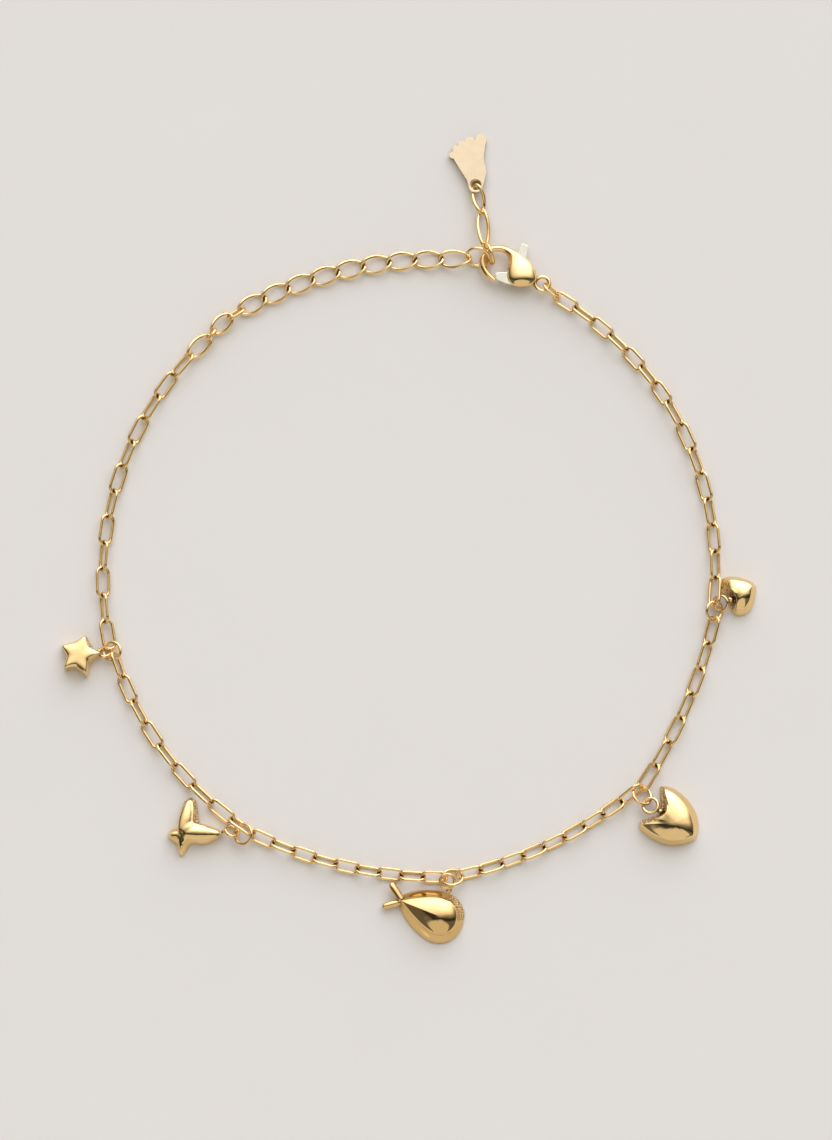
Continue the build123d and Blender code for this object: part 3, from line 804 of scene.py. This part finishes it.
# %% Clasp casting
CLASP_WHERE, CLASP_TURN, CLASP_MIDDLE = (12.2, 40.75), -25.2, 1.30
PILLOW_LEAN, PILLOW_HUB = -6, Vector((3.3, 0, 0))
CLASP_LINE = [
    # x, y of the middle, direction there, half width, half height
    (0.47, -2.30, 172, 0.32, 0.38), (0.25, -2.29, 172, 0.34, 0.40), (-0.62, -2.12, 162, 0.45, 0.48),
    (-1.36, -1.70, 142, 0.52, 0.52), (-2.00, -1.05, 124, 0.52, 0.52), (-2.36, -0.10, 95, 0.50, 0.50),
    (-2.17, 0.86, 62, 0.48, 0.50), (-1.52, 1.57, 36, 0.46, 0.50), (-0.55, 2.04, 14, 0.46, 0.52),
    (0.40, 2.08, -8, 0.50, 0.59), (1.28, 1.86, -20, 0.78, 0.74), (1.78, 1.44, -30, 1.28, 0.90),
    (2.26, 0.86, -33, 1.78, 1.02), (2.86, 0.27, -33, 2.10, 1.10), (3.56, -0.26, -28, 2.14, 1.12),
    (4.34, -0.42, -22, 1.72, 1.02), (5.02, -0.34, -16, 1.10, 0.80), (5.55, -0.14, -6, 0.48, 0.46),
]
bm = bmesh.new()
line_rings(bm, CLASP_LINE, segments=16, blunt=0.8)
level = Matrix.Rotation(math.radians(-CLASP_TURN), 4, "Z")
bmesh.ops.transform(bm, verts=[vert for vert in bm.verts if vert.co.x > 1.6],
                    matrix=Matrix.Translation(PILLOW_HUB) @ level
                    @ Matrix.Rotation(math.radians(PILLOW_LEAN), 4, "X") @ level.inverted()
                    @ Matrix.Translation(-PILLOW_HUB))
casting = mesh_of(bm, "casting")
print("clasp casting:", len(casting.polygons), "faces")

# %% [markdown]
# ## The clasp's slot
# The lever turns in a slot that is milled through the casting. A block with the slot's outline is
# extruded and cut away with a Boolean modifier, after the casting is rounded, so that the slot's edges
# stay crisp. A cut can leave slivers, which are dissolved.

# %% Cut the slot
def cut(piece_mesh, cutter_mesh):
    """The first mesh with the second one cut out of it."""
    whole = bpy.data.objects.new("whole", piece_mesh)
    tool = bpy.data.objects.new("tool", cutter_mesh)
    for item in (whole, tool):
        bpy.context.scene.collection.objects.link(item)
    rounding = whole.modifiers.new("smooth", "SUBSURF")
    rounding.levels = rounding.render_levels = 2
    away = whole.modifiers.new("cut", "BOOLEAN")
    away.object, away.operation, away.solver = tool, "DIFFERENCE", "EXACT"
    shape = bpy.data.meshes.new_from_object(whole.evaluated_get(bpy.context.evaluated_depsgraph_get()))
    for item in (whole, tool):
        bpy.data.objects.remove(item)
    return shape


SLOT = [(1.0, -3.0), (1.0, 0.9), (1.35, 1.5), (1.4, 3.4), (4.7, 3.4), (4.8, 0.8), (4.9, -3.0)]
SLOT_DEPTH, SLIVER = 1.0, 0.001
bm = bmesh.new()
outline = bm.faces.new([bm.verts.new((x, y, -SLOT_DEPTH / 2)) for x, y in SLOT])
raised = bmesh.ops.extrude_face_region(bm, geom=[outline])["geom"]
bmesh.ops.translate(bm, verts=[item for item in raised if isinstance(item, bmesh.types.BMVert)],
                    vec=(0, 0, SLOT_DEPTH))
slotted = cut(casting, mesh_of(bm, "slot"))
bm = bmesh.new()
bm.from_mesh(slotted)
bmesh.ops.triangulate(bm, faces=bm.faces)
bmesh.ops.remove_doubles(bm, verts=bm.verts, dist=SLIVER)
bmesh.ops.dissolve_degenerate(bm, dist=SLIVER, edges=bm.edges)
print("slotted clasp:", len(bm.faces), "faces, open edges:", sum(edge.is_boundary for edge in bm.edges))

# %% [markdown]
# ## The lever's pin and the clasp's eye
# The pin crosses the slot inside the casting, and the eye is a thick ring at its end.

# %% Clasp body
pin = bmesh.ops.create_cone(bm, cap_ends=True, segments=32, radius1=0.35, radius2=0.35, depth=1.1)["verts"]
bmesh.ops.translate(bm, verts=pin, vec=(3.2, 0, 0))
spun_ring(bm, centre=(6.45, 0, 0), radius=0.94, wire=0.55, lean=0, toward=0)
bmesh.ops.translate(bm, verts=bm.verts, vec=(0, 0, CLASP_MIDDLE))
place(bm, CLASP_WHERE, CLASP_TURN)
finish_piece(bm, "clasp_body", smooth=0)

# %% [markdown]
# ## Lever and foot tag
# Both are cut from plate, and their outlines are right in CAD. A copy of each node is merged, its flat
# faces are joined, and its sharp edges are bevelled, which is what a tumbling barrel does to real ones.

# %% Plates with rounded edges
SHARP = 0.9     # radians between two faces


def rounded_copy(node, width, segments):
    """A merged copy of a CAD node with its sharp edges rounded, in millimetres."""
    bm = bmesh.new()
    bm.from_mesh(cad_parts[node].data)
    bmesh.ops.scale(bm, verts=bm.verts, vec=(1 / MM, 1 / MM, 1 / MM))
    bmesh.ops.remove_doubles(bm, verts=bm.verts, dist=1e-4)
    bmesh.ops.dissolve_limit(bm, angle_limit=math.radians(2), verts=bm.verts, edges=bm.edges)
    sharp = [edge for edge in bm.edges if len(edge.link_faces) == 2 and edge.calc_face_angle() > SHARP]
    bmesh.ops.bevel(bm, geom=sharp, offset=width, offset_type="OFFSET", affect="EDGES", segments=segments,
                    profile=0.5, clamp_overlap=True, material=-1)
    return bm

# %% [markdown]
# ## Flat faces that reflect flat
# Smooth shading bends a flat face's reflection towards its rounded edge. Weighted normals let the large
# faces keep their own direction, so only the rounding bends it.

# %% Lever and tag
def flatten_shading(piece):
    """Large faces keep their own direction, so that a flat face reflects flat up to its rounded edge."""
    even = piece.modifiers.new("even", "WEIGHTED_NORMAL")
    even.weight = 100


lever = finish_piece(rounded_copy("clasp_lever", width=0.16, segments=4), "clasp_lever", body="clasp_lever",
                     finish=pale_lit_gold, smooth=0)
tag = finish_piece(rounded_copy("foot_tag", width=0.14, segments=4), "foot_tag", finish=satin_gold,
                   smooth=0)
flatten_shading(lever)
flatten_shading(tag)

# %% [markdown]
# ## Floor
# A plain pale table top, large enough to fill every reflection that looks down. It is a stage and no part
# of the object.

# %% Floor
FLOOR_SIZE = 3.0        # metres from its middle to its edge
bm = bmesh.new()
bmesh.ops.create_grid(bm, x_segments=1, y_segments=1, size=FLOOR_SIZE)
floor = bpy.data.objects.new("floor", mesh_of(bm, "floor"))
bpy.context.scene.collection.objects.link(floor)
pale = bpy.data.materials.new("pale_table")
tree = empty_tree(pale)
mottle = tree.node("ShaderNodeTexNoise", {}, {"Vector": tree.node("ShaderNodeTexCoord").output("Object"),
                                              "Scale": 60.0, "Detail": 2.0})
colour = tree.node("ShaderNodeMix", {"data_type": "RGBA"},
                   {"Factor": mottle, 6: (0.86, 0.81, 0.70, 1.0), 7: (0.875, 0.825, 0.715, 1.0)})
matt = tree.node("ShaderNodeBsdfPrincipled", {}, {"Base Color": colour, "Roughness": 0.9})
tree.node("ShaderNodeOutputMaterial", {}, {"Surface": matt})
floor.data.materials.append(pale)
print("floor:", 2 * FLOOR_SIZE, "m wide")

# %% [markdown]
# ## Light
# Polished metal is lit by what it reflects, so the studio is drawn as a sky and not with lamps: a big
# soft lamp over the far side, a dimmer wall on the near side, dark corners, and a narrow dark gap
# overhead between the two. The lamp fades towards the zenith, which gives the domes their slow change
# from cream to gold. Each part of the room is a soft step of the direction looked in.

# %% The parts of the room
world = bpy.data.worlds.new("studio")
bpy.context.scene.world = world
tree = empty_tree(world)
way = tree.node("ShaderNodeSeparateXYZ", {}, {"Vector": tree.node("ShaderNodeTexCoord").output("Generated")})
across, north, up = way.output("X"), way.output("Y"), way.output("Z")


def size_of(value):
    """The value without its sign."""
    return value.node("ShaderNodeMath", {"operation": "ABSOLUTE"}, {0: value})


lamp = north.step(0.0, 0.70) * (1 - size_of(across - 0.18).step(0.15, 0.85)) * (1 - north.step(0.93, 1.0))
wall_x, wall_y = across * 1.8, (north + 0.62) * 2.05
wall = 1 - (wall_x * wall_x + wall_y * wall_y).step(0.70, 1.0)
gap = north.step(-0.22, -0.16) * (1 - north.step(-0.08, 0.0))
ceiling = north.step(-0.08, 0.20) * (1 - size_of(across - 0.06).step(0.50, 0.90))
horizon = (1 - up.step(0.02, 0.28)) * (1 - wall) * (1 - lamp)
print("the room's parts:", len(world.node_tree.nodes), "nodes")

# %% [markdown]
# ## The room's brightness and tint
# The parts are added up with a brightness each. The lamp is a little blue and the rest a little warm,
# which keeps highlights cream on yellow gold. Seen directly, the room is plain and pale.

# %% Studio
light = 0.15 + lamp * 2.1 + wall * 0.60 + horizon * 0.85 + ceiling * 0.60 - gap * 0.11
tint = tree.node("ShaderNodeMix", {"data_type": "RGBA"},
                 {"Factor": lamp, 6: (1.0, 0.985, 0.96, 1.0), 7: (0.95, 1.0, 1.24, 1.0)})
seen = tree.node("ShaderNodeLightPath").output("Is Camera Ray")
shine = tree.node("ShaderNodeBackground", {}, {"Color": tint, "Strength": light})
plain = tree.node("ShaderNodeBackground", {}, {"Color": (0.80, 0.78, 0.74, 1.0), "Strength": 1.0})
sky = tree.node("ShaderNodeMixShader", {}, {"Fac": seen, 1: shine, 2: plain})
tree.node("ShaderNodeOutputWorld", {}, {"Surface": sky})
bpy.context.scene.view_settings.view_transform = "Standard"
print("studio:", len(world.node_tree.nodes), "nodes")

# %% [markdown]
# ## Camera
# The camera looks almost straight down from a little on the near side, through a long lens, so that the
# charms show their tops and a line of their near walls.

# %% Camera
AIM, DISTANCE, ELEVATION = Vector((1.069, -0.489, 0.8)) * MM, 0.8469, math.radians(85)
lens = bpy.data.cameras.new("camera")
lens.lens, lens.sensor_fit, lens.sensor_width, lens.sensor_height = 200.0, "AUTO", 36.0, 36.0
camera = bpy.data.objects.new("camera", lens)
bpy.context.scene.collection.objects.link(camera)
camera.location = AIM + DISTANCE * Vector((0, -math.cos(ELEVATION), math.sin(ELEVATION)))
camera.rotation_euler = (math.pi / 2 - ELEVATION, 0, 0)
bpy.context.scene.camera = camera
print("camera at, m:", tuple(round(v, 4) for v in camera.location))
